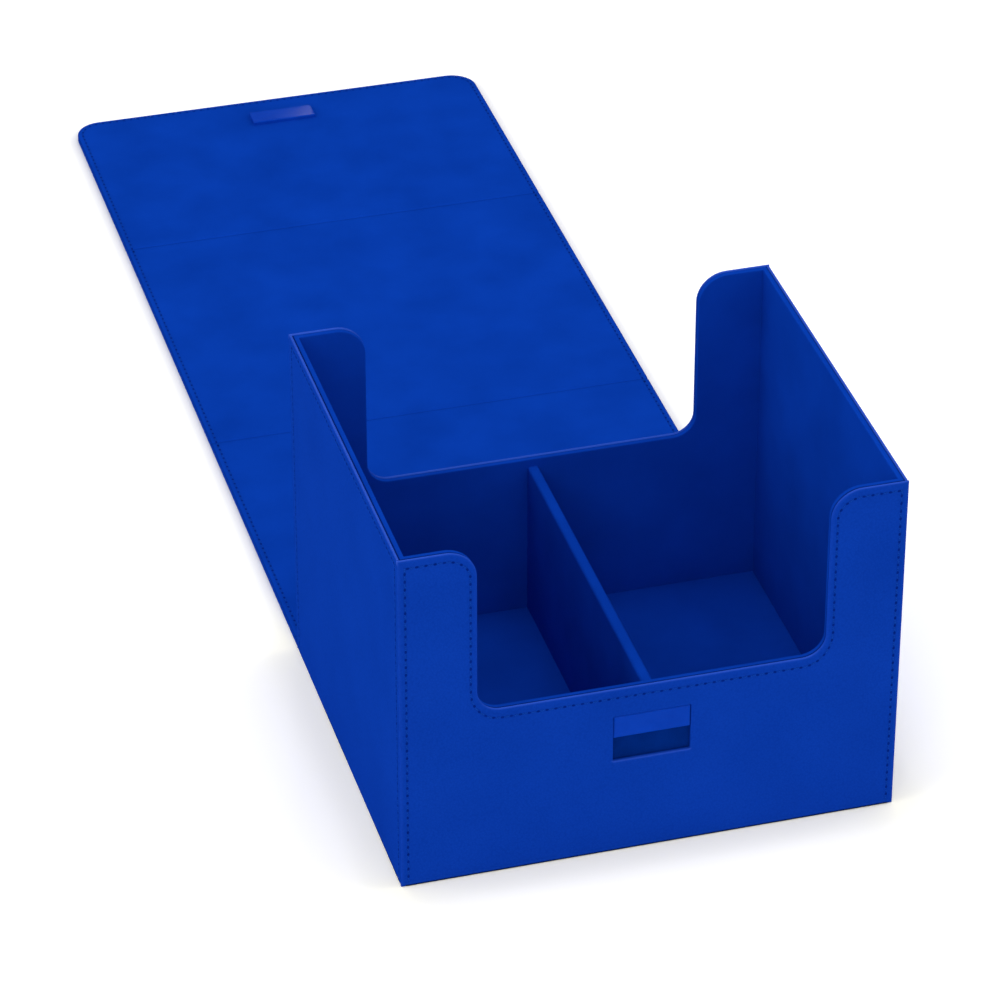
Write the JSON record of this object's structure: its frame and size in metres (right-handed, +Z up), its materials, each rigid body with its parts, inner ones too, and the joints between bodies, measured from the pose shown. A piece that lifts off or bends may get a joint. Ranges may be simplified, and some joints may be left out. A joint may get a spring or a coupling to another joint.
{
  "type": "card case",
  "caption": "Open leatherette card box with finger cut-outs and a low divider, and a folding cover that closes over its back, top and front with a magnetic flap.",
  "frame": {"origin": "middle of the box's base, on the surface that it stands on", "axes": "+X to the right seen from the front, +Y to the rear along the open cover, +Z up"},
  "size_m": [0.194, 0.6045, 0.1464],
  "materials": {
    "leatherette": "fine-grained satin",
    "suede": "short suede nap",
    "board": "bare grey board",
    "plate": "glossy blue lacquer",
    "tray": "matt navy",
    "keeper": "plain sheet steel",
    "magnet": "nickel plate"
  },
  "bodies": {
    "case": {"base_skin": "leatherette", "base_board": "board", "base_lining": "suede", "front_skin": "leatherette", "front_board": "board", "front_lining": "suede", "rear_skin": "leatherette", "rear_board": "board", "rear_lining": "suede", "left_skin": "leatherette", "left_board": "board", "left_lining": "suede", "right_skin": "leatherette", "right_board": "board", "right_lining": "suede", "divider_board": "board", "divider_lining": "suede", "recess_tray": "tray", "front_plate": "plate", "keeper_plate": "keeper", "rear_fold_skin": "leatherette", "rear_fold_lining": "suede"},
    "cover_back": {"back_panel_skin": "leatherette", "back_panel_board": "board", "back_panel_lining": "suede", "top_fold_skin": "leatherette", "top_fold_lining": "suede"},
    "cover_top": {"top_panel_skin": "leatherette", "top_panel_board": "board", "top_panel_lining": "suede", "front_fold_skin": "leatherette", "front_fold_lining": "suede"},
    "cover_flap": {"flap_skin": "leatherette", "flap_board": "board", "flap_lining": "suede", "flap_plate": "plate", "flap_magnets": "magnet"}
  },
  "joints": [
    {"name": "rear_hinge", "type": "hinge", "parent": "case", "child": "cover_back", "pos_m": [0, 0.0845, 0.001], "axis": [1, 0, 0], "range_deg": [0, 90], "deforming": ["rear_fold_skin", "rear_fold_lining"]},
    {"name": "top_hinge", "type": "hinge", "parent": "cover_back", "child": "cover_top", "pos_m": [0, 0.2329, 0.001], "axis": [1, 0, 0], "range_deg": [0, 90], "deforming": ["top_fold_skin", "top_fold_lining"]},
    {"name": "front_hinge", "type": "hinge", "parent": "cover_top", "child": "cover_flap", "pos_m": [0, 0.4019, 0.001], "axis": [1, 0, 0], "range_deg": [0, 90], "deforming": ["front_fold_skin", "front_fold_lining"]}
  ]
}
